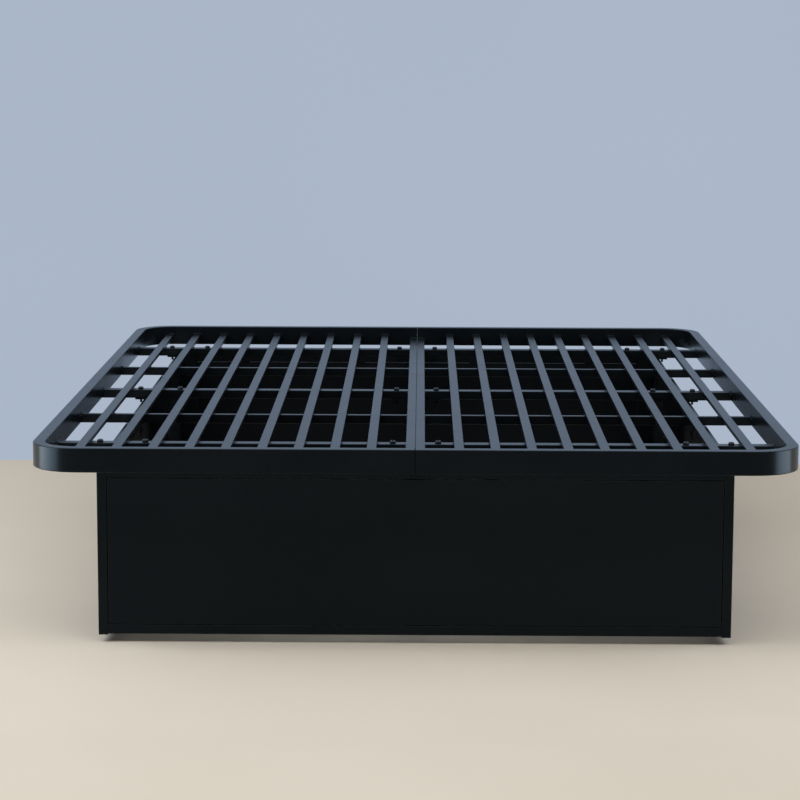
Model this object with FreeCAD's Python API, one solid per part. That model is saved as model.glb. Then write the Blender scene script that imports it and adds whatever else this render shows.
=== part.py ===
import FreeCAD, Part
import math
import os

from FreeCAD import Vector

# A platform bed of black steel tube. X runs across the bed, +Y towards the head end, +Z up.
# The origin is on the floor under the middle of the deck. All sizes are in millimetres.

# Deck rim: a rectangular tube bent round the mattress, in two halves that meet at a lengthwise seam.
mattress_width = 1524.0
mattress_length = 2032.0
deck_height = 433.0
rim_width = 25.0
rim_height = 50.0
rim_wall = 1.5
rim_corner_radius = 100.0
rim_edge_radius = 2.0
seam_gap = 0.4
plug_gap = 0.2
plug_flange = 1.5
plug_edge = 1.0
plug_depth = 15.0

# Slats: flat tubes that lie lengthwise on the cross rails, evenly spaced between a gap beside the
# centre bar and one beside the rim.
slat_count = 9
slat_width = 20.0
slat_height = 10.0
slat_wall = 1.0
slat_edge_radius = 1.5
seam_slat_gap = 61.0
rim_slat_gap = 54.5

# Cross rails and centre bars: tubes whose undersides are flush with the rim's underside.
rail_count = 5
rail_height = 20.0
wide_rail_width = 30.0
narrow_rail_width = 15.0
rail_wall = 1.2
rail_edge_radius = 1.5
end_rail_inset = 261.0
centre_bar_width = 20.0

# Legs: square tubes with a bolted plate on top and a plastic foot below. The outer legs stand under
# the slat that has this many slats outside it.
outside_slat_count = 1
leg_size = 40.0
leg_wall = 1.5
leg_edge_radius = 2.0
plate_thickness = 3.0
plate_end = 12.0
foot_height = 8.0
foot_edge = 2.0

# Skirt: a box of small square tube round the legs, with boards let into its four sides.
skirt_tube = 20.0
skirt_wall = 1.5
skirt_edge_radius = 1.5
skirt_end_overhang = 127.0
skirt_top_rail_height = 30.0
skirt_bottom_rail_height = 20.0
skirt_floor_gap = 18.0
cap_flange = 2.0
cap_plug_depth = 10.0
panel_thickness = 15.0
panel_reveal = 1.5
panel_recess = 0.5
tab_count = 4
tab_width = 30.0
tab_reach = 25.0
tab_thickness = 2.0
lug_length = 30.0
lug_thickness = 3.0

# Fasteners.
deck_bolt_diameter = 6.0
deck_bolt_head_diameter = 13.0
deck_bolt_head_height = 6.0
deck_bolt_socket = 5.0
deck_bolt_stub = 9.0
bolt_to_skirt = 5.0
skirt_bolt_diameter = 6.0
skirt_bolt_head_diameter = 11.0
skirt_bolt_head_height = 3.5
skirt_bolt_tail = 10.0
skirt_bolt_socket = 4.0
socket_depth = 2.0
weld_nut_diameter = 12.0
weld_nut_length = 6.0
screw_diameter = 4.0
screw_head_diameter = 8.0
screw_head_height = 2.5
screw_skin = 5.0

# Fits.
hole_clearance = 0.25
plug_clearance = 0.2
foot_to_nut = 2.0

# Places that follow from those sizes.
inner_half_width = mattress_width / 2
inner_half_length = mattress_length / 2
deck_half_width = inner_half_width + rim_width
deck_half_length = inner_half_length + rim_width
rim_bottom = deck_height - rim_height
rail_top = rim_bottom + rail_height
half_gap = seam_gap / 2
rim_end = plug_gap / 2 + plug_flange
centre_bar_edge = half_gap + centre_bar_width

first_slat = centre_bar_edge + seam_slat_gap + slat_width / 2
last_slat = inner_half_width - rim_slat_gap - slat_width / 2
slat_pitch = (last_slat - first_slat) / (slat_count - 1)
slat_places = [first_slat + slat_pitch * i for i in range(slat_count)]

first_row = -(deck_half_length - end_rail_inset)
row_pitch = -2 * first_row / (rail_count - 1)
rail_rows = [first_row + row_pitch * i for i in range(rail_count)]
leg_rows = rail_rows[::2]

plate_bottom = rim_bottom - plate_thickness
leg_place = slat_places[-1 - outside_slat_count]
leg_columns = {"left": -leg_place, "centre": 0.0, "right": leg_place}
bolt_offset = leg_size / 2 + skirt_tube + bolt_to_skirt + deck_bolt_diameter / 2
plate_length = 2 * (bolt_offset + plate_end)

skirt_half_width = leg_place + leg_size / 2 + skirt_tube
skirt_half_length = deck_half_length - skirt_end_overhang
skirt_top = plate_bottom
skirt_bottom = skirt_floor_gap
top_rail_bottom = skirt_top - skirt_top_rail_height
bottom_rail_top = skirt_bottom + skirt_bottom_rail_height
top_rail_middle = skirt_top - skirt_top_rail_height / 2
bottom_rail_middle = skirt_bottom + skirt_bottom_rail_height / 2
foot_plug_depth = bottom_rail_middle - weld_nut_diameter / 2 - foot_to_nut - foot_height
panel_back = panel_recess + panel_thickness
screw_length = tab_thickness + panel_thickness - screw_skin

# The four sides of the skirt, each a quarter turn on from the one before it: how far out its face
# stands, and the clear length between its corner posts.
end_length = 2 * (skirt_half_width - skirt_tube)
side_length = 2 * (skirt_half_length - skirt_tube)
skirt_sides = {
    "foot": (skirt_half_length, end_length),
    "right": (skirt_half_width, side_length),
    "head": (skirt_half_length, end_length),
    "left": (skirt_half_width, side_length),
}

origin = Vector(0, 0, 0)
along_x = Vector(1, 0, 0)
along_y = Vector(0, 1, 0)
along_z = Vector(0, 0, 1)


def rounded_outline(width, height, radius):
    """A closed rectangle with rounded corners in the XY plane, centred on the origin."""
    w = width / 2
    h = height / 2
    if radius <= 0:
        corners = [Vector(-w, -h), Vector(w, -h), Vector(w, h), Vector(-w, h), Vector(-w, -h)]
        return Part.makePolygon(corners)
    lean = radius * (1 - math.sqrt(0.5))
    edges = [
        Part.LineSegment(Vector(-w + radius, -h), Vector(w - radius, -h)),
        Part.Arc(Vector(w - radius, -h), Vector(w - lean, -h + lean), Vector(w, -h + radius)),
        Part.LineSegment(Vector(w, -h + radius), Vector(w, h - radius)),
        Part.Arc(Vector(w, h - radius), Vector(w - lean, h - lean), Vector(w - radius, h)),
        Part.LineSegment(Vector(w - radius, h), Vector(-w + radius, h)),
        Part.Arc(Vector(-w + radius, h), Vector(-w + lean, h - lean), Vector(-w, h - radius)),
        Part.LineSegment(Vector(-w, h - radius), Vector(-w, -h + radius)),
        Part.Arc(Vector(-w, -h + radius), Vector(-w + lean, -h + lean), Vector(-w + radius, -h)),
    ]
    return Part.Wire([edge.toShape() for edge in edges])


def inner_radius(edge_radius, wall):
    """The edge radius inside a tube wall."""
    return max(edge_radius - wall, 0.0)


def tube_z(width, depth, wall, edge_radius, bottom, top):
    """An upright tube, centred on the Z axis."""
    outer = rounded_outline(width, depth, edge_radius)
    bore = rounded_outline(width - 2 * wall, depth - 2 * wall, inner_radius(edge_radius, wall))
    tube = Part.Face(outer).extrude(Vector(0, 0, top - bottom))
    tube = tube.cut(Part.Face(bore).extrude(Vector(0, 0, top - bottom)))
    return tube.translated(Vector(0, 0, bottom))


def tube_y(width, height, wall, edge_radius, start, end):
    """A level tube along Y, centred on the Y axis."""
    return tube_z(width, height, wall, edge_radius, -end, -start).rotated(origin, along_x, 90)


def tube_x(width, height, wall, edge_radius, start, end):
    """A level tube along X, centred on the X axis."""
    return tube_y(width, height, wall, edge_radius, -end, -start).rotated(origin, along_z, 90)


def block(low, high):
    """A plain box between two corners."""
    size = high - low
    return Part.makeBox(size.x, size.y, size.z, low)


def plug(width, depth, wall, flange, reach, edge_radius):
    """A moulded tube plug: its flange lies below Z = 0 and its body goes up into the tube."""
    body_width = width - 2 * (wall + plug_clearance)
    body_depth = depth - 2 * (wall + plug_clearance)
    cover = Part.Face(rounded_outline(width, depth, edge_radius)).extrude(Vector(0, 0, -flange))
    body = Part.Face(rounded_outline(body_width, body_depth, inner_radius(edge_radius, wall)))
    return cover.fuse(body.extrude(Vector(0, 0, reach))).removeSplitter()


def hexagon(width, height):
    """A hexagonal prism on the XY plane, measured across its flats."""
    corner = width / math.sqrt(3)
    turns = [math.radians(60 * i) for i in range(7)]
    points = [Vector(corner * math.cos(a), corner * math.sin(a), 0) for a in turns]
    return Part.Face(Part.makePolygon(points)).extrude(Vector(0, 0, height))


def rim_sweep(side, width, height, edge_radius):
    """A solid bar of that section along the middle line of one half of the rim."""
    middle = rim_width / 2
    x_start = side * rim_end
    x_side = side * (deck_half_width - middle)
    x_bend = side * (deck_half_width - rim_corner_radius)
    y_end = deck_half_length - middle
    y_bend = deck_half_length - rim_corner_radius
    bend = rim_corner_radius - middle
    x_lean = x_bend + side * bend * math.sqrt(0.5)
    y_lean = y_bend + bend * math.sqrt(0.5)
    edges = [
        Part.LineSegment(Vector(x_start, -y_end, 0), Vector(x_bend, -y_end, 0)),
        Part.Arc(Vector(x_bend, -y_end, 0), Vector(x_lean, -y_lean, 0), Vector(x_side, -y_bend, 0)),
        Part.LineSegment(Vector(x_side, -y_bend, 0), Vector(x_side, y_bend, 0)),
        Part.Arc(Vector(x_side, y_bend, 0), Vector(x_lean, y_lean, 0), Vector(x_bend, y_end, 0)),
        Part.LineSegment(Vector(x_bend, y_end, 0), Vector(x_start, y_end, 0)),
    ]
    path = Part.Wire([edge.toShape() for edge in edges])
    section = rounded_outline(width, height, edge_radius)
    section.rotate(origin, along_x, 90)
    section.rotate(origin, along_z, 90)
    section.translate(Vector(x_start, -y_end, 0))
    bar = path.makePipeShell([section], True, False)
    return bar.translated(Vector(0, 0, rim_bottom + rim_height / 2))


def rim_block(side):
    """The outside form of one half of the rim."""
    return rim_sweep(side, rim_width, rim_height, rim_edge_radius)


def rim(side):
    """One half of the rim, a hollow tube bent at both corners."""
    bore_radius = inner_radius(rim_edge_radius, rim_wall)
    bore = rim_sweep(side, rim_width - 2 * rim_wall, rim_height - 2 * rim_wall, bore_radius)
    return rim_block(side).cut(bore)


def rim_end_plugs():
    """The plugs that close the four tube ends at the seam."""
    shape = plug(rim_height, rim_width, rim_wall, plug_flange, plug_depth, rim_edge_radius)
    face = [edge for edge in shape.Edges if edge.BoundBox.ZMax < -plug_flange + plug_edge / 2]
    shape = shape.makeChamfer(plug_edge, face)
    plugs = []
    for side in (-1, 1):
        turned = shape.rotated(origin, along_y, 90 * side)
        for end in (-1, 1):
            y = end * (deck_half_length - rim_width / 2)
            plugs.append(turned.translated(Vector(side * rim_end, y, rim_bottom + rim_height / 2)))
    return plugs


def centre_bar(side):
    """The square tube beside the seam, between the foot and head ends of the rim."""
    bar = tube_y(
        centre_bar_width, rail_height, rail_wall, rail_edge_radius, -inner_half_length, inner_half_length
    )
    return bar.translated(Vector(side * (half_gap + centre_bar_width / 2), 0, rim_bottom + rail_height / 2))


def slat(side, place):
    """One slat, trimmed to the rim's inner face where that bends away near a corner."""
    bar = tube_y(
        slat_width, slat_height, slat_wall, slat_edge_radius, -inner_half_length, inner_half_length
    )
    bar = bar.translated(Vector(side * place, 0, rail_top + slat_height / 2))
    straight_edge = deck_half_width - rim_corner_radius
    if place + slat_width / 2 > straight_edge:
        bar = bar.cut(rim_block(side))
    return bar


def deck_bolt_places():
    """The axes of the bolts that hold the deck on the leg plates."""
    places = []
    for column in leg_columns.values():
        for row in leg_rows:
            places.append(Vector(column - bolt_offset, row, 0))
            places.append(Vector(column + bolt_offset, row, 0))
    return places


def bolt_hole(diameter, base, direction, length):
    """A round clearance hole for a bolt or screw."""
    return Part.makeCylinder(diameter / 2 + hole_clearance, length, base, direction)


def cross_rail(side, row_index):
    """One cross rail from the centre bar to the rim, bored for the deck bolts where a leg is below."""
    row = rail_rows[row_index]
    legged = row in leg_rows
    width = wide_rail_width if legged else narrow_rail_width
    bar = tube_x(width, rail_height, rail_wall, rail_edge_radius, centre_bar_edge, inner_half_width)
    if side < 0:
        bar = bar.rotated(origin, along_z, 180)
    bar = bar.translated(Vector(0, row, rim_bottom + rail_height / 2))
    if legged:
        for place in deck_bolt_places():
            if place.y == row and place.x * side > 0:
                base = place + Vector(0, 0, rim_bottom)
                bar = bar.cut(bolt_hole(deck_bolt_diameter, base, along_z, rail_height))
    return bar


def socket_bolt(diameter, head_diameter, head_height, socket_width, reach):
    """A round-headed bolt with a hexagon socket. Its head stands on the XY plane, its shank points down."""
    head = Part.makeCylinder(head_diameter / 2, head_height)
    crown = [edge for edge in head.Edges if edge.BoundBox.ZMin > head_height / 2]
    head = head.makeFillet(head_height / 2, crown)
    socket = hexagon(socket_width, socket_depth)
    head = head.cut(socket.translated(Vector(0, 0, head_height - socket_depth)))
    shank = Part.makeCylinder(diameter / 2, reach, Vector(0, 0, -reach), along_z)
    return head.fuse(shank)


def deck_bolts():
    """The bolts whose heads are on the wide rails and whose ends show below the leg plates."""
    reach = rail_height + plate_thickness + deck_bolt_stub
    bolt = socket_bolt(
        deck_bolt_diameter, deck_bolt_head_diameter, deck_bolt_head_height, deck_bolt_socket, reach
    )
    return [bolt.translated(place + Vector(0, 0, rail_top)) for place in deck_bolt_places()]


def leg(column, row):
    """A leg tube with its welded plate, tapped for the deck bolts. An outer leg takes the skirt's bolts."""
    tube = tube_z(leg_size, leg_size, leg_wall, leg_edge_radius, foot_height, plate_bottom)
    low = Vector(-plate_length / 2, -leg_size / 2, plate_bottom)
    high = Vector(plate_length / 2, leg_size / 2, rim_bottom)
    shape = tube.fuse(block(low, high))
    for offset in (-bolt_offset, bolt_offset):
        base = Vector(offset, 0, plate_bottom)
        shape = shape.cut(bolt_hole(deck_bolt_diameter, base, along_z, plate_thickness))
    if leg_columns[column] != 0:
        outward = Vector(math.copysign(1, leg_columns[column]), 0, 0)
        for middle in (bottom_rail_middle, top_rail_middle):
            wall_face = outward * (leg_size / 2 - leg_wall) + Vector(0, 0, middle)
            mouth = outward * (leg_size / 2) + Vector(0, 0, middle)
            nut = Part.makeCylinder(weld_nut_diameter / 2, weld_nut_length, wall_face, outward * -1)
            hole = bolt_hole(skirt_bolt_diameter, mouth, outward * -1, leg_wall + weld_nut_length)
            shape = shape.fuse(nut).cut(hole)
    return shape.translated(Vector(leg_columns[column], row, 0))


def leg_feet():
    """The plastic feet, each plugged into the bottom of a leg tube."""
    foot = plug(leg_size, leg_size, leg_wall, foot_height, foot_plug_depth, leg_edge_radius)
    sole = [edge for edge in foot.Edges if edge.BoundBox.ZMax < -foot_height + foot_edge / 2]
    foot = foot.makeChamfer(foot_edge, sole)
    feet = []
    for column in leg_columns.values():
        for row in leg_rows:
            feet.append(foot.translated(Vector(column, row, foot_height)))
    return feet


def corner_places():
    """The middle lines of the skirt's four corner posts."""
    x = skirt_half_width - skirt_tube / 2
    y = skirt_half_length - skirt_tube / 2
    return [Vector(-x, -y, 0), Vector(x, -y, 0), Vector(x, y, 0), Vector(-x, y, 0)]


def corner_posts():
    """The upright tubes at the skirt's corners."""
    post = tube_z(skirt_tube, skirt_tube, skirt_wall, skirt_edge_radius, skirt_bottom, skirt_top)
    return [post.translated(place) for place in corner_places()]


def post_caps():
    """The plugs that close both ends of each corner post."""
    cap = plug(skirt_tube, skirt_tube, skirt_wall, cap_flange, cap_plug_depth, skirt_edge_radius)
    upper = cap.rotated(origin, along_x, 180)
    caps = []
    for place in corner_places():
        caps.append(cap.translated(place + Vector(0, 0, skirt_bottom)))
        caps.append(upper.translated(place + Vector(0, 0, skirt_top)))
    return caps


def set_on_skirt(shape, name):
    """Moves a piece drawn with its outer face on Y = 0, facing -Y, to one side of the skirt."""
    distance, _ = skirt_sides[name]
    quarter_turns = list(skirt_sides).index(name)
    return shape.translated(Vector(0, -distance, 0)).rotated(origin, along_z, 90 * quarter_turns)


def tab_places(length):
    """The middles of the fixing tabs along a rail."""
    step = length / tab_count
    return [step * (i + 0.5) - length / 2 for i in range(tab_count)]


def skirt_rail(name, bottom, top, tab_up):
    """A skirt rail with its welded tabs. End rails carry a lug at each end, side rails are bored."""
    _, length = skirt_sides[name]
    middle = (bottom + top) / 2
    rail = tube_x(skirt_tube, top - bottom, skirt_wall, skirt_edge_radius, -length / 2, length / 2)
    rail = rail.translated(Vector(0, skirt_tube / 2, middle))
    for place in tab_places(length):
        low = Vector(place - tab_width / 2, panel_back, top if tab_up else bottom - tab_reach)
        tab = block(low, low + Vector(tab_width, tab_thickness, tab_reach))
        hole_base = Vector(place, panel_back, tab.BoundBox.Center.z)
        rail = rail.fuse(tab.cut(bolt_hole(screw_diameter, hole_base, along_y, tab_thickness)))
    if name in ("foot", "head"):
        for end in (-1, 1):
            x = end * (length - lug_thickness) / 2
            low = Vector(x - lug_thickness / 2, skirt_tube, bottom + skirt_edge_radius)
            high = Vector(x + lug_thickness / 2, skirt_tube + lug_length, top - skirt_edge_radius)
            hole_base = Vector(x - lug_thickness / 2, skirt_tube + lug_length / 2, middle)
            lug = block(low, high).cut(bolt_hole(screw_diameter, hole_base, along_x, lug_thickness))
            rail = rail.fuse(lug)
    else:
        for row in leg_rows:
            rail = rail.cut(bolt_hole(skirt_bolt_diameter, Vector(row, 0, middle), along_y, skirt_tube))
        for end in (-1, 1):
            x = end * (length - lug_length) / 2
            hole_base = Vector(x, skirt_tube - skirt_wall, middle)
            rail = rail.cut(bolt_hole(screw_diameter, hole_base, along_y, skirt_wall))
    return set_on_skirt(rail, name)


def tab_heights():
    """The heights of the screws in the upper and lower tabs."""
    return (top_rail_bottom - tab_reach / 2, bottom_rail_top + tab_reach / 2)


def panel(name):
    """A board let into one side of the skirt, with a narrow reveal all round."""
    _, length = skirt_sides[name]
    low = Vector(-length / 2 + panel_reveal, panel_recess, bottom_rail_top + panel_reveal)
    high = Vector(length / 2 - panel_reveal, panel_back, top_rail_bottom - panel_reveal)
    board = block(low, high)
    depth = screw_length - tab_thickness + hole_clearance
    for place in tab_places(length):
        for height in tab_heights():
            base = Vector(place, panel_back, height)
            board = board.cut(bolt_hole(screw_diameter, base, along_y * -1, depth))
    return set_on_skirt(board, name)


def screw():
    """A pan-head screw. Its head stands on the XY plane and its shank points down."""
    head = Part.makeCylinder(screw_head_diameter / 2, screw_head_height)
    shank = Part.makeCylinder(screw_diameter / 2, screw_length, Vector(0, 0, -screw_length), along_z)
    return head.fuse(shank)


def skirt_screws():
    """The screws that hold the boards on their tabs and the end lugs on the side rails."""
    facing_in = screw().rotated(origin, along_x, -90)
    screws = []
    for name, (_, length) in skirt_sides.items():
        for place in tab_places(length):
            for height in tab_heights():
                seat = Vector(place, panel_back + tab_thickness, height)
                screws.append(set_on_skirt(facing_in.translated(seat), name))
    for name in ("foot", "head"):
        _, length = skirt_sides[name]
        for end in (-1, 1):
            facing_out = screw().rotated(origin, along_y, -90 * end)
            for middle in (bottom_rail_middle, top_rail_middle):
                seat = Vector(end * (length / 2 - lug_thickness), skirt_tube + lug_length / 2, middle)
                screws.append(set_on_skirt(facing_out.translated(seat), name))
    return screws


def skirt_bolts():
    """The socket-head bolts through the side rails into the outer legs."""
    reach = skirt_tube + skirt_bolt_tail
    bolt = socket_bolt(
        skirt_bolt_diameter, skirt_bolt_head_diameter, skirt_bolt_head_height, skirt_bolt_socket, reach
    )
    bolt = bolt.rotated(origin, along_x, 90)
    bolts = []
    for name in ("left", "right"):
        for row in leg_rows:
            for middle in (bottom_rail_middle, top_rail_middle):
                bolts.append(set_on_skirt(bolt.translated(Vector(row, 0, middle)), name))
    return bolts


def save(name, shapes):
    """Writes one node: a single solid, or a group of like solids."""
    solids = [solid for shape in shapes for solid in shape.Solids]
    whole = solids[0] if len(solids) == 1 else Part.makeCompound(solids)
    whole.exportStep(os.path.join("parts", name + ".step"))


os.makedirs("parts", exist_ok=True)

for side_name, side in (("left", -1), ("right", 1)):
    save(f"{side_name}_rim", [rim(side)])
    save(f"{side_name}_centre_bar", [centre_bar(side)])
    for index, place in enumerate(slat_places):
        save(f"{side_name}_slat_{index + 1}", [slat(side, place)])
    for index in range(rail_count):
        save(f"{side_name}_rail_{index + 1}", [cross_rail(side, index)])
save("rim_end_plugs", rim_end_plugs())

for column in leg_columns:
    for row_name, row in zip(("foot", "middle", "head"), leg_rows):
        save(f"{column}_{row_name}_leg", [leg(column, row)])
save("leg_feet", leg_feet())
save("deck_bolts", deck_bolts())

save("skirt_corner_posts", corner_posts())
save("skirt_post_caps", post_caps())
for name in skirt_sides:
    save(f"skirt_{name}_top_rail", [skirt_rail(name, top_rail_bottom, skirt_top, False)])
    save(f"skirt_{name}_bottom_rail", [skirt_rail(name, skirt_bottom, bottom_rail_top, True)])
    save(f"skirt_{name}_panel", [panel(name)])
save("skirt_screws", skirt_screws())
save("skirt_bolts", skirt_bolts())
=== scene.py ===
import math

import bmesh
import bpy
from mathutils import Matrix, Vector


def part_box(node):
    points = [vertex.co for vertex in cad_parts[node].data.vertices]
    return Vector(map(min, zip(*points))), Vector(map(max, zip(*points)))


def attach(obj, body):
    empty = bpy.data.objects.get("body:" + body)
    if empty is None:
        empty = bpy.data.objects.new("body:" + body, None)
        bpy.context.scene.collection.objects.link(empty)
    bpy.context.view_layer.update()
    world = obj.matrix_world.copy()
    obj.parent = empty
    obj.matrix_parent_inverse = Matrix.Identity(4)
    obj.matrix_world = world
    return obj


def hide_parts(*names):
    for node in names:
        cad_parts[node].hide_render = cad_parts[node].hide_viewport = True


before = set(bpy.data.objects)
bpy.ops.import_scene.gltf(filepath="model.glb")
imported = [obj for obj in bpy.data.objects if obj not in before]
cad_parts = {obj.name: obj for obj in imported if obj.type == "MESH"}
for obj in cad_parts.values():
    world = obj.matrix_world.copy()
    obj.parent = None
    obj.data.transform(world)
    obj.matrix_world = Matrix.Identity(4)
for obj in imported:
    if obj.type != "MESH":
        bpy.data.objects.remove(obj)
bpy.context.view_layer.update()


# Legs: nine square steel tubes, each with a drilled steel plate welded across its top.
# They stand inside the skirt and are powder coated satin black, a baked coat that flows out with a faint
# orange peel and shows dust on what faces up. Its edges are painted paler: partly a thinner coat, partly
# a painted highlight.
def add(tree, kind, inputs, **settings):
    """Places a shader node. Its inputs are values or sockets to link, by name or number."""
    node = tree.nodes.new("ShaderNode" + kind)
    for name, value in settings.items():
        setattr(node, name, value)
    for name, value in inputs.items():
        if isinstance(value, bpy.types.NodeSocket):
            tree.links.new(value, node.inputs[name])
        else:
            node.inputs[name].default_value = value
    return node


def noise(tree, scale, detail):
    """Cloudy noise over the object's own coordinates, as a socket from nought to one."""
    place = add(tree, "TexCoord", {})
    cloud = {"Vector": place.outputs["Object"], "Scale": scale, "Detail": detail}
    return add(tree, "TexNoise", cloud).outputs["Fac"]


def combine(tree, operation, *values):
    """Works out one number from others and gives back its socket."""
    return add(tree, "Math", dict(enumerate(values)), operation=operation).outputs[0]


def remap(tree, value, from_range=(0.0, 1.0), to_range=(0.0, 1.0)):
    """Stretches a number from one range to another, held at the ends, and gives back its socket."""
    ranges = dict(zip(("From Min", "From Max", "To Min", "To Max"), (*from_range, *to_range)))
    return add(tree, "MapRange", {"Value": value, **ranges}).outputs[0]


def start_group(name, inputs, outputs):
    """Opens a shader node group with number sockets. Gives back its tree, input and output nodes."""
    tree = bpy.data.node_groups.new(name, "ShaderNodeTree")
    for label, value in inputs.items():
        socket = tree.interface.new_socket(label, in_out="INPUT", socket_type="NodeSocketFloat")
        socket.default_value = value
    for label in outputs:
        tree.interface.new_socket(label, in_out="OUTPUT", socket_type="NodeSocketFloat")
    return tree, tree.nodes.new("NodeGroupInput"), tree.nodes.new("NodeGroupOutput")


def orange_peel_group():
    """The skin of a sprayed or moulded surface: a fine height, and slow cloudy changes of tone."""
    tree, given, result = start_group("Orange Peel", {"Grain": 600.0, "Cloud": 6.0}, ("Height", "Cloud"))
    swell_share = 0.28
    fine = noise(tree, given.outputs["Grain"], detail=2.0)
    swell = noise(tree, combine(tree, "MULTIPLY", given.outputs["Grain"], swell_share), detail=1.0)
    cloud = noise(tree, given.outputs["Cloud"], detail=4.0)
    tree.links.new(combine(tree, "ADD", fine, swell), result.inputs["Height"])
    tree.links.new(remap(tree, cloud, from_range=(0.32, 0.68)), result.inputs["Cloud"])
    return tree


def edge_wear_and_painted_light_group():
    """A mask of the outer edges, broken up by noise: worn, thin or scraped edges, and also painted edge
    highlight on the powder coat and painted shade on the rim plugs.
    """
    tree, given, result = start_group("Edge Wear And Painted Light", {"Reach": 0.0015}, ("Mask",))
    round_over = add(tree, "Bevel", {"Radius": given.outputs["Reach"]}, samples=4)
    surface = add(tree, "NewGeometry", {})
    normals = {0: round_over.outputs["Normal"], 1: surface.outputs["Normal"]}
    agreement = add(tree, "VectorMath", normals, operation="DOT_PRODUCT")
    edge = remap(tree, agreement.outputs["Value"], from_range=(0.985, 0.88))
    patches = remap(tree, noise(tree, scale=45.0, detail=5.0), from_range=(0.38, 0.66))
    tree.links.new(combine(tree, "MULTIPLY", edge, patches), result.inputs["Mask"])
    return tree


def settled_dust_group():
    """A mask of faint specks and film on surfaces that face up."""
    tree, given, result = start_group("Settled Dust", {"Amount": 0.3}, ("Mask",))
    surface = add(tree, "NewGeometry", {})
    facing = add(tree, "SeparateXYZ", {"Vector": surface.outputs["Normal"]})
    upward = remap(tree, facing.outputs["Z"], from_range=(0.55, 0.98))
    specks = remap(tree, noise(tree, scale=320.0, detail=3.0), from_range=(0.5, 0.8))
    lying = combine(tree, "MULTIPLY", upward, specks)
    tree.links.new(combine(tree, "MULTIPLY", lying, given.outputs["Amount"]), result.inputs["Mask"])
    return tree


orange_peel = orange_peel_group()
edge_wear_and_painted_light = edge_wear_and_painted_light_group()
settled_dust = settled_dust_group()


def use_group(tree, group, **values):
    """Places one of the node groups in a material with its own values."""
    node = tree.nodes.new("ShaderNodeGroup")
    node.node_tree = group
    for name, value in values.items():
        node.inputs[name].default_value = value
    return node


def mix_colours(tree, factor, first, second):
    """Blends two colours, each a triple or a socket, by a mask and gives back the colour socket."""
    first, second = [(*colour, 1) if isinstance(colour, tuple) else colour for colour in (first, second)]
    return add(tree, "Mix", {0: factor, 6: first, 7: second}, data_type="RGBA").outputs[2]


def open_material(name, gloss=(1, 1, 1)):
    """Starts a material whose square-on gloss has a colour. Gives back it, its tree and its shader."""
    material = bpy.data.materials.new(name)
    material.use_nodes = True
    tree = material.node_tree
    shader = tree.nodes["Principled BSDF"]
    shader.inputs["Specular Tint"].default_value = (*gloss, 1)
    return material, tree, shader


def wire(tree, shader, colour, roughness, height, strength, depth):
    """Links a colour, a roughness and a bump of a given depth to a material's shader."""
    bump = add(tree, "Bump", {"Height": height, "Strength": strength, "Distance": depth})
    tree.links.new(colour, shader.inputs["Base Color"])
    tree.links.new(roughness, shader.inputs["Roughness"])
    tree.links.new(bump.outputs["Normal"], shader.inputs["Normal"])


def powder_coat_material(name, black, cloudy_black):
    """Satin black powder coat on steel tube, between two close tones."""
    material, tree, shader = open_material(name, gloss=(0.17, 0.235, 0.29))
    skin = use_group(tree, orange_peel, Grain=620.0, Cloud=7.0)
    worn_and_painted_edges = use_group(tree, edge_wear_and_painted_light, Reach=0.0016)
    dust = use_group(tree, settled_dust, Amount=0.12)
    # Paler edges: partly the coat drawing thin, partly a painted highlight where the rounded edges catch
    # light.
    thin_coat_and_painted_highlight = (0.013, 0.0145, 0.0165)
    dust_grey = (0.06, 0.07, 0.085)
    colour = mix_colours(tree, skin.outputs["Cloud"], black, cloudy_black)
    colour = mix_colours(tree, worn_and_painted_edges.outputs["Mask"], colour, thin_coat_and_painted_highlight)
    colour = mix_colours(tree, dust.outputs["Mask"], colour, dust_grey)
    dulled_by_dust = 0.35
    smoothed_at_edges = -0.05
    satin = remap(tree, skin.outputs["Cloud"], to_range=(0.265, 0.29))
    satin = combine(tree, "MULTIPLY_ADD", dust.outputs["Mask"], dulled_by_dust, satin)
    satin = combine(tree, "MULTIPLY_ADD", worn_and_painted_edges.outputs["Mask"], smoothed_at_edges, satin)
    wire(tree, shader, colour, satin, skin.outputs["Height"], strength=0.5, depth=0.000008)
    return material


deck_coat = powder_coat_material(
    "deck powder coat", black=(0.0028, 0.0039, 0.0050), cloudy_black=(0.0042, 0.0054, 0.0067)
)


def give(material, *names):
    """Puts a material on whole CAD nodes."""
    for name in names:
        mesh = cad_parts[name].data
        mesh.materials.clear()
        mesh.materials.append(material)


columns = ("left", "centre", "right")
leg_rows = ("foot", "middle", "head")
give(deck_coat, *[f"{column}_{row}_leg" for column in columns for row in leg_rows])


# Feet and caps: injection moulded black plastic plugs, pressed into the lower ends of the legs
# and into both ends of the skirt's corner posts. The mould gives them a fine even spark texture.
def moulded_plastic_material(name, gloss, edge_tone):
    """Black plastic with a spark-eroded texture, and edges of another tone."""
    material, tree, shader = open_material(name, gloss)
    skin = use_group(tree, orange_peel, Grain=1800.0, Cloud=25.0)
    worn_and_painted_edges = use_group(tree, edge_wear_and_painted_light, Reach=0.0012)
    dust = use_group(tree, settled_dust, Amount=0.3)
    black = (0.0032, 0.0036, 0.0040)
    cloudy_black = (0.0056, 0.0060, 0.0065)
    dust_grey = (0.075, 0.076, 0.078)
    colour = mix_colours(tree, skin.outputs["Cloud"], black, cloudy_black)
    colour = mix_colours(tree, worn_and_painted_edges.outputs["Mask"], colour, edge_tone)
    colour = mix_colours(tree, dust.outputs["Mask"], colour, dust_grey)
    matt = remap(tree, skin.outputs["Cloud"], to_range=(0.46, 0.56))
    wire(tree, shader, colour, matt, skin.outputs["Height"], strength=0.8, depth=0.00004)
    return material


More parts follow.
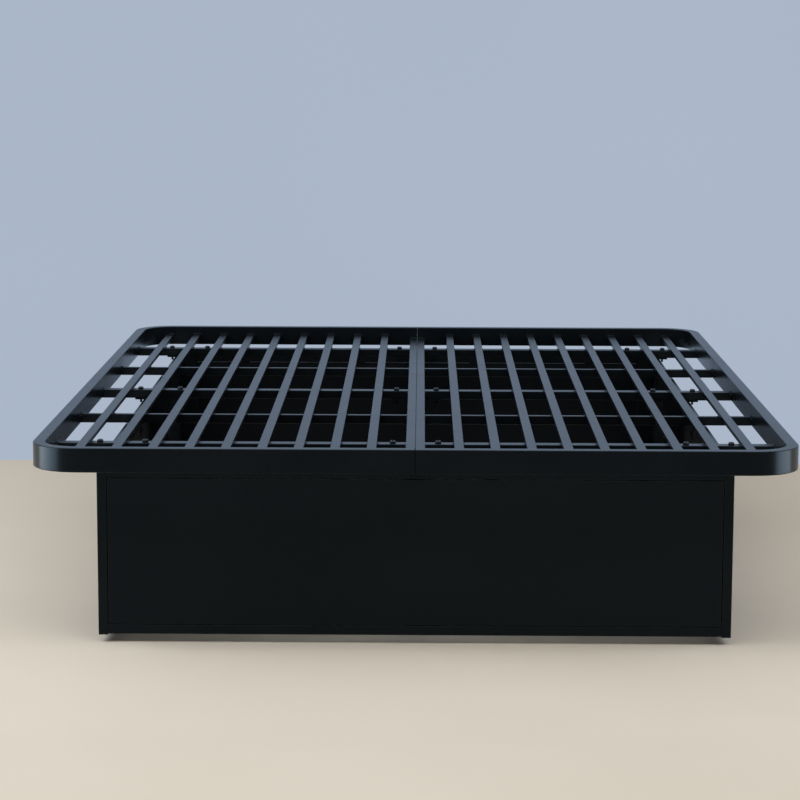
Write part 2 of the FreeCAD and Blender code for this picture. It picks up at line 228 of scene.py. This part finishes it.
foot_plastic = moulded_plastic_material(
    "scuffed black plastic", gloss=(0.20, 0.23, 0.26), edge_tone=(0.016, 0.0165, 0.0175)
)
give(foot_plastic, "leg_feet", "skirt_post_caps")


# Skirt frame: corner posts and top and bottom rails of small square steel tube, powder coated black.
# Posts and side rails are welded into two long frames. The end rails go between these on screwed
# lugs, and flat tabs on the rails carry the boards.
# The frame's coat is a paler copy of the deck's coat, painted lighter for the light that falls on the
# frame.
lit_base_coat = powder_coat_material(
    "base powder coat painted paler", black=(0.0036, 0.0045, 0.0053), cloudy_black=(0.0051, 0.0060, 0.0069)
)
skirt_sides = ("foot", "right", "head", "left")
give(lit_base_coat, "skirt_corner_posts")
give(lit_base_coat, *[f"skirt_{side}_{height}_rail" for side in skirt_sides for height in ("top", "bottom")])


# Boards: four black laminated chipboards let into the skirt frame. The press plate leaves a fine
# pebble on their faces, and a 1 mm strip of edge band is glued round each and eased by a scraper.
def laminate_material():
    """Black melamine face with a pebbled press finish and faint wipe marks."""
    material, tree, shader = open_material("black laminate", gloss=(0.18, 0.23, 0.27))
    place = add(tree, "TexCoord", {}).outputs["Object"]
    pebble = add(tree, "TexVoronoi", {"Vector": place, "Scale": 900.0}, feature="SMOOTH_F1")
    skin = use_group(tree, orange_peel, Grain=1200.0, Cloud=2.6)
    stretch = add(tree, "Mapping", {"Vector": place, "Scale": (3.0, 3.0, 22.0)})
    wiped = add(tree, "TexNoise", {"Vector": stretch.outputs[0], "Scale": 1.0, "Detail": 6.0})
    black = (0.0033, 0.0043, 0.0054)
    cloudy_black = (0.0047, 0.0058, 0.0070)
    colour = mix_colours(tree, skin.outputs["Cloud"], black, cloudy_black)
    satin = remap(tree, wiped.outputs["Fac"], to_range=(0.36, 0.52))
    skin_share = 0.4
    grain = combine(tree, "MULTIPLY_ADD", skin.outputs["Height"], skin_share, pebble.outputs["Distance"])
    wire(tree, shader, colour, satin, grain, strength=0.5, depth=0.00005)
    return material


def edge_band_material():
    """Plastic edge band with fine scraper marks and paler scraped edges."""
    material, tree, shader = open_material("black edge band", gloss=(0.30, 0.35, 0.40))
    marks = noise(tree, scale=420.0, detail=4.0)
    worn_and_painted_edges = use_group(tree, edge_wear_and_painted_light, Reach=0.0008)
    black = (0.0042, 0.0044, 0.0048)
    pale_black = (0.0080, 0.0082, 0.0088)
    scraped = (0.020, 0.020, 0.021)
    colour = mix_colours(tree, marks, black, pale_black)
    colour = mix_colours(tree, worn_and_painted_edges.outputs["Mask"], colour, scraped)
    satin = remap(tree, marks, to_range=(0.30, 0.42))
    wire(tree, shader, colour, satin, marks, strength=0.4, depth=0.00003)
    return material


laminate = laminate_material()
edge_band = edge_band_material()
edge_band_thickness = 0.001
board_ease = 0.0004


def put_in_scene(name, data):
    """Makes an object of a mesh, a lamp or a camera and links it to the scene."""
    thing = bpy.data.objects.new(name, data)
    bpy.context.scene.collection.objects.link(thing)
    return thing


def show(name, mesh, materials):
    """Turns finished geometry into a piece that rides on the bed."""
    data = bpy.data.meshes.new(name)
    mesh.to_mesh(data)
    mesh.free()
    for material in materials:
        data.materials.append(material)
    piece = put_in_scene(name, data)
    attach(piece, "root")
    return piece


def board(node):
    """One laminated board with its edge band, in the place of its CAD solid."""
    low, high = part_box(node)
    size = high - low
    thin = min(range(3), key=lambda axis: size[axis])
    square_on = 0.9
    sharp = math.radians(30)
    mesh = bmesh.new()
    shape = Matrix.Translation((low + high) / 2) @ Matrix.Diagonal((*size, 1))
    bmesh.ops.create_cube(mesh, size=1.0, matrix=shape)
    mesh.normal_update()
    faces = [face for face in mesh.faces if abs(face.normal[thin]) > square_on]
    bmesh.ops.inset_individual(mesh, faces=faces, thickness=edge_band_thickness)
    corners = [edge for edge in mesh.edges if edge.calc_face_angle() > sharp]
    bmesh.ops.bevel(mesh, geom=corners, offset=board_ease, segments=3, profile=0.5, affect="EDGES")
    mesh.normal_update()
    for face in mesh.faces:
        face.material_index = 0 if face in faces else 1
    piece = show(f"board_{node}", mesh, (laminate, edge_band))
    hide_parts(node)


for side in skirt_sides:
    board(f"skirt_{side}_panel")


# Skirt fasteners: pan-head screws through the tabs and lugs, and round-headed socket bolts that
# hold the long sides on the outer legs. All are black oxide steel with a light oil shine.
def black_oxide_material():
    """Blackened steel with fine turning marks and brighter rubbed edges."""
    material, tree, shader = open_material("black oxide steel", gloss=(0.45, 0.52, 0.60))
    skin = use_group(tree, orange_peel, Grain=2600.0, Cloud=160.0)
    worn_and_painted_edges = use_group(tree, edge_wear_and_painted_light, Reach=0.0006)
    black = (0.004, 0.0042, 0.0048)
    blue_black = (0.008, 0.0088, 0.0105)
    bright = (0.035, 0.036, 0.039)
    colour = mix_colours(tree, skin.outputs["Cloud"], black, blue_black)
    colour = mix_colours(tree, worn_and_painted_edges.outputs["Mask"], colour, bright)
    shine = remap(tree, skin.outputs["Cloud"], to_range=(0.17, 0.29))
    wire(tree, shader, colour, shine, skin.outputs["Height"], strength=0.35, depth=0.00002)
    return material


black_oxide = black_oxide_material()
give(black_oxide, "skirt_screws", "skirt_bolts")


# Deck rim: a 50 x 25 mm steel tube bent round both corners of each half, with plastic plugs where
# the halves meet in the middle of the foot and head ends. The plugs stay dull, and their edges are
# painted darker as shade in the seam.
halves = ("left", "right")
give(deck_coat, *[f"{half}_rim" for half in halves])
# The edge tone is darker than the plug: painted shade in the seam between the halves.
plug_plastic = moulded_plastic_material(
    "dull black plastic", gloss=(0.02, 0.025, 0.03), edge_tone=(0.0012, 0.0014, 0.0016)
)
give(plug_plastic, "rim_end_plugs")


# Deck grid: on each half a centre bar along the seam, five cross rails from it to the rim, and nine
# flat slats lengthwise on the rails. All are steel tube, welded to the rim and coated with it.
slats = range(1, 10)
rails = range(1, 6)
give(deck_coat, *[f"{half}_centre_bar" for half in halves])
give(deck_coat, *[f"{half}_rail_{rail}" for half in halves for rail in rails])
give(deck_coat, *[f"{half}_slat_{slat}" for half in halves for slat in slats])


# Deck bolts: round-headed socket bolts through the wide rails into the leg plates, in pairs.
# They are fitted after coating, so they keep their black oxide shine.
give(black_oxide, "deck_bolts")


# Welds: short rippled beads of weld metal in the corners where rails, slats and centre bars meet
# the rim and each other. They are coated with the deck, so they look like thick soft-edged paint.
rail_bead = 0.0035
slat_bead = 0.0026
ripple = 0.0022
fewest_ripples = 3
ripple_trough = 0.86
bead_tip = 0.35
bead_slope = 3.2
up = Vector((0, 0, 1))


def lay_bead(mesh, start, end, first_wall, second_wall, leg):
    """Lays one fillet bead along a corner. The walls are the directions out of it along both faces."""
    root, crown, shoulder, flank = -0.12, 0.62, 0.86, 0.30
    shares = ((root, root), (1, 0), (shoulder, flank), (crown, crown), (flank, shoulder), (0, 1))
    profile = [first_wall * first + second_wall * second for first, second in shares]
    run = end - start
    rings = 2 * max(fewest_ripples, round(run.length / ripple)) + 1
    loops = []
    for ring in range(rings):
        share = ring / (rings - 1)
        taper = min(1.0, bead_tip + bead_slope * min(share, 1 - share))
        crest = 1.0 if ring % 2 else ripple_trough
        middle = start + run * share
        loops.append([mesh.verts.new(middle + point * leg * taper * crest) for point in profile])
    for near, far in zip(loops, loops[1:]):
        for i in range(len(profile)):
            j = (i + 1) % len(profile)
            mesh.faces.new((near[i], near[j], far[j], far[i]))
    mesh.faces.new(loops[0][::-1])
    mesh.faces.new(loops[-1])


def ends(axis, low, high):
    """Both ends of a box along an axis, each with the direction from it into the box."""
    inward = Vector((0, 0, 0))
    inward[axis] = 1
    return (low[axis], inward), (high[axis], -inward)


def weld_rail(mesh, node, side):
    """The beads at both ends of a cross rail: up its two faces, and across its top at the rim."""
    low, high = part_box(node)
    for end, inward in ends(0, low, high):
        for face, behind in ends(1, low, high):
            foot = Vector((end, face, low.z + rail_bead))
            head = Vector((end, face, high.z - rail_bead / 2))
            lay_bead(mesh, foot, head, inward, -behind, rail_bead)
    outer = high.x if side > 0 else low.x
    near = Vector((outer, low.y + rail_bead, high.z))
    far = Vector((outer, high.y - rail_bead, high.z))
    lay_bead(mesh, near, far, Vector((-side, 0, 0)), up, rail_bead)


def weld_slat(mesh, half, slat, side):
    """The beads at a slat's ends, on its sides and top, and along it on every rail.

    The outermost slat runs into the rim's bends, so its outer side has no straight corner for a bead.
    """
    low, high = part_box(f"{half}_slat_{slat}")
    outermost = slat == len(slats)
    for face, behind in ends(0, low, high):
        outward = -behind
        if not (outermost and outward.x * side > 0):
            for end, inward in ends(1, low, high):
                foot = Vector((face, end, low.z + slat_bead / 2))
                head = Vector((face, end, high.z - slat_bead / 2))
                lay_bead(mesh, foot, head, outward, inward, slat_bead)
        for rail in rails:
            rail_low, rail_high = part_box(f"{half}_rail_{rail}")
            near = Vector((face, rail_low.y + slat_bead, low.z))
            far = Vector((face, rail_high.y - slat_bead, low.z))
            lay_bead(mesh, near, far, outward, up, slat_bead)
    inner, outer = sorted((low.x, high.x), key=abs)
    if outermost:
        outer = (inner + outer) / 2
    for end, inward in ends(1, low, high):
        near = Vector((inner - side * slat_bead / 2, end, high.z))
        far = Vector((outer + side * slat_bead / 2, end, high.z))
        lay_bead(mesh, near, far, inward, up, slat_bead)


def weld_centre_bar(mesh, node, side):
    """The beads at the ends of a centre bar: across its top, and down its outer face."""
    low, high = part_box(node)
    outer = high.x if side > 0 else low.x
    for end, inward in ends(1, low, high):
        near = Vector((low.x + rail_bead / 2, end, high.z))
        far = Vector((high.x - rail_bead / 2, end, high.z))
        lay_bead(mesh, near, far, inward, up, rail_bead)
        foot = Vector((outer, end, low.z + rail_bead / 2))
        head = Vector((outer, end, high.z - rail_bead / 2))
        lay_bead(mesh, foot, head, Vector((side, 0, 0)), inward, rail_bead)


for half, side in zip(halves, (-1, 1)):
    beads = bmesh.new()
    for rail in rails:
        weld_rail(beads, f"{half}_rail_{rail}", side)
    for slat in slats:
        weld_slat(beads, half, slat, side)
    weld_centre_bar(beads, f"{half}_centre_bar", side)
    bmesh.ops.recalc_face_normals(beads, faces=beads.faces[:])
    for face in beads.faces:
        face.smooth = True
    show(f"{half}_welds", beads, (deck_coat,))


# Floor: a plain pale floor under the bed, warm off-white with a faint mottle. Far from the lamps
# it keeps an even tone for the eye, so it doesn't fall off into the dark.
def seen_share(tree):
    """One for rays of the camera and of reflections, and nought for all others, as a socket."""
    path = add(tree, "LightPath", {})
    return combine(tree, "MAXIMUM", path.outputs["Is Camera Ray"], path.outputs["Is Glossy Ray"])


def floor_material():
    """A pale matt floor that passes into an even tone in the distance."""
    material, tree, shader = open_material("pale floor")
    shader.inputs["Specular IOR Level"].default_value = 0.0
    warm = (0.57, 0.515, 0.44)
    pale = (0.63, 0.575, 0.50)
    mottle = mix_colours(tree, noise(tree, scale=1.7, detail=6.0), warm, pale)
    tree.links.new(mottle, shader.inputs["Base Color"])
    weave = noise(tree, scale=700.0, detail=2.0)
    nap = add(tree, "Bump", {"Height": weave, "Strength": 0.2, "Distance": 0.0002})
    tree.links.new(nap.outputs["Normal"], shader.inputs["Normal"])
    far_tone = (0.50, 0.465, 0.41, 1)
    far_range = {"From Min": 2.8, "From Max": 6.0}
    place = add(tree, "TexCoord", {})
    away = add(tree, "VectorMath", {0: place.outputs["Object"]}, operation="LENGTH").outputs["Value"]
    far = add(tree, "MapRange", {"Value": away, **far_range}, interpolation_type="SMOOTHSTEP")
    share = combine(tree, "MULTIPLY", far.outputs[0], seen_share(tree))
    even = add(tree, "Emission", {"Color": far_tone})
    whole = add(tree, "MixShader", {0: share, 1: shader.outputs[0], 2: even.outputs[0]})
    tree.links.new(whole.outputs[0], tree.nodes["Material Output"].inputs["Surface"])
    return material


def staged_sheet(name, corners, material):
    """A flat sheet of the stage, which isn't part of the bed."""
    data = bpy.data.meshes.new(name)
    data.from_pydata(corners, [], [(0, 1, 2, 3)])
    data.materials.append(material)
    put_in_scene(name, data)


reach = 9.0
floor_corners = [(-reach, -reach, 0), (reach, -reach, 0), (reach, reach, 0), (-reach, reach, 0)]
staged_sheet("floor", floor_corners, floor_material())


# Backdrop: a pale blue-grey sheet behind the head end, whose tone shows in the tops of the slats.
# It is seen from the front only, and it stops no lamp, so the bed is lit and seen from behind too.
def backdrop_material():
    """An even pale tone for the camera and for reflections from the front, clear to all other rays."""
    material = bpy.data.materials.new("pale backdrop")
    material.use_nodes = True
    tree = material.node_tree
    tree.nodes.clear()
    pale_blue = (0.38, 0.45, 0.555)
    paler_blue = (0.43, 0.495, 0.60)
    mirrored_blue = (0.365, 0.465, 0.62)
    cloudy = mix_colours(tree, noise(tree, scale=0.5, detail=2.0), pale_blue, paler_blue)
    path = add(tree, "LightPath", {})
    tone = mix_colours(tree, path.outputs["Is Glossy Ray"], cloudy, mirrored_blue)
    even = add(tree, "Emission", {"Color": tone})
    clear = add(tree, "BsdfTransparent", {})
    surface = add(tree, "NewGeometry", {})
    from_front = combine(tree, "SUBTRACT", 1.0, surface.outputs["Backfacing"])
    share = combine(tree, "MULTIPLY", seen_share(tree), from_front)
    whole = add(tree, "MixShader", {0: share, 1: clear.outputs[0], 2: even.outputs[0]})
    add(tree, "OutputMaterial", {"Surface": whole.outputs[0]})
    return material


backdrop_place = 1.288
backdrop_height = 4.0
backdrop_feet = [(-reach, backdrop_place, 0), (reach, backdrop_place, 0)]
backdrop_heads = [(reach, backdrop_place, backdrop_height), (-reach, backdrop_place, backdrop_height)]
staged_sheet("backdrop", backdrop_feet + backdrop_heads, backdrop_material())


# Light: a large soft box above the foot end, a weak one overhead and a high one to each side. Four low
# cards at the sides show only in reflections, in the bent corners, and a lamp behind the head end is
# for the floor there. The surround is pale where it is seen and dim as light.
warm_white = (1.0, 0.96, 0.89)
cool_white = (0.88, 0.94, 1.0)
window_blue = (0.75, 0.87, 1.0)


def soft_box(name, place, aim, size, radiance, colour=warm_white):
    """A rectangular soft light of an even brightness that points at a place."""
    width, depth = size
    lamp = bpy.data.lights.new(name, "AREA")
    lamp.shape = "RECTANGLE"
    lamp.size = width
    lamp.size_y = depth
    lamp.energy = radiance * math.pi * width * depth
    lamp.color = colour
    box = put_in_scene(name, lamp)
    box.location = place
    box.rotation_euler = (Vector(aim) - Vector(place)).to_track_quat("-Z", "Y").to_euler()
    box.visible_camera = False
    return box


soft_box("front_light", place=(-0.3, -2.3, 3.2), aim=(-0.1, -0.9, 0), size=(6.0, 1.8), radiance=2.9)
soft_box("overhead_light", place=(0, 0.4, 3.6), aim=(0, 0.4, 0), size=(4.0, 3.0), radiance=0.3)
back_light = soft_box("back_light", place=(0, 4.2, 3.2), aim=(0, 1.9, 0), size=(6.0, 1.8), radiance=2.2)
back_light.visible_glossy = False


def window(name, side, radiance):
    """A high soft box beside the bed, as cool as daylight."""
    place = (side * 3.0, -0.9, 2.7)
    aim = (side * 0.9, -0.6, 0)
    soft_box(name, place, aim, size=(2.6, 1.8), radiance=radiance, colour=cool_white)


window("left_window", side=-1, radiance=5.4)
window("right_window", side=1, radiance=3.4)


def card(name, side, along, width, radiance):
    """A low upright card beside the bed that shows only in reflections."""
    distance, middle, height = 2.3, 0.22, 0.40
    place = (side * distance, along, middle)
    box = soft_box(name, place, (0, along, middle), (width, height), radiance, window_blue)
    box.visible_diffuse = False


card("left_back_card", side=-1, along=-0.70, width=0.50, radiance=7.0)
card("left_front_card", side=-1, along=-1.60, width=1.30, radiance=9.0)
card("right_back_card", side=1, along=-0.88, width=0.55, radiance=6.2)
card("right_front_card", side=1, along=-1.55, width=0.80, radiance=9.8)


def surround():
    """A pale blue-grey world for the camera and reflections, dim for other light."""
    dim = (0.095, 0.103, 0.115)
    pale = (0.40, 0.44, 0.50)
    world = bpy.data.worlds.new("pale surround")
    world.use_nodes = True
    tree = world.node_tree
    tone = mix_colours(tree, seen_share(tree), dim, pale)
    tree.links.new(tone, tree.nodes["Background"].inputs["Color"])
    return world


bpy.context.scene.world = surround()


# Camera: at chest height, five metres in front of the foot end. A long lens looks a few degrees down
# at the deck.
camera_place = (0.011, -6.0544, 1.2874)
camera_down = math.radians(8.535)
camera_left = math.radians(0.480)
camera_roll = math.radians(0.208)
lens = bpy.data.cameras.new("camera")
lens.sensor_width = 36.0
lens.lens = 113.36
camera = put_in_scene("camera", lens)
turn = Matrix.Rotation(camera_left, 4, "Z")
tilt = Matrix.Rotation(math.pi / 2 - camera_down, 4, "X")
roll = Matrix.Rotation(camera_roll, 4, "Z")
camera.matrix_world = Matrix.Translation(camera_place) @ turn @ tilt @ roll
bpy.context.scene.camera = camera
bpy.context.scene.view_settings.view_transform = "Standard"
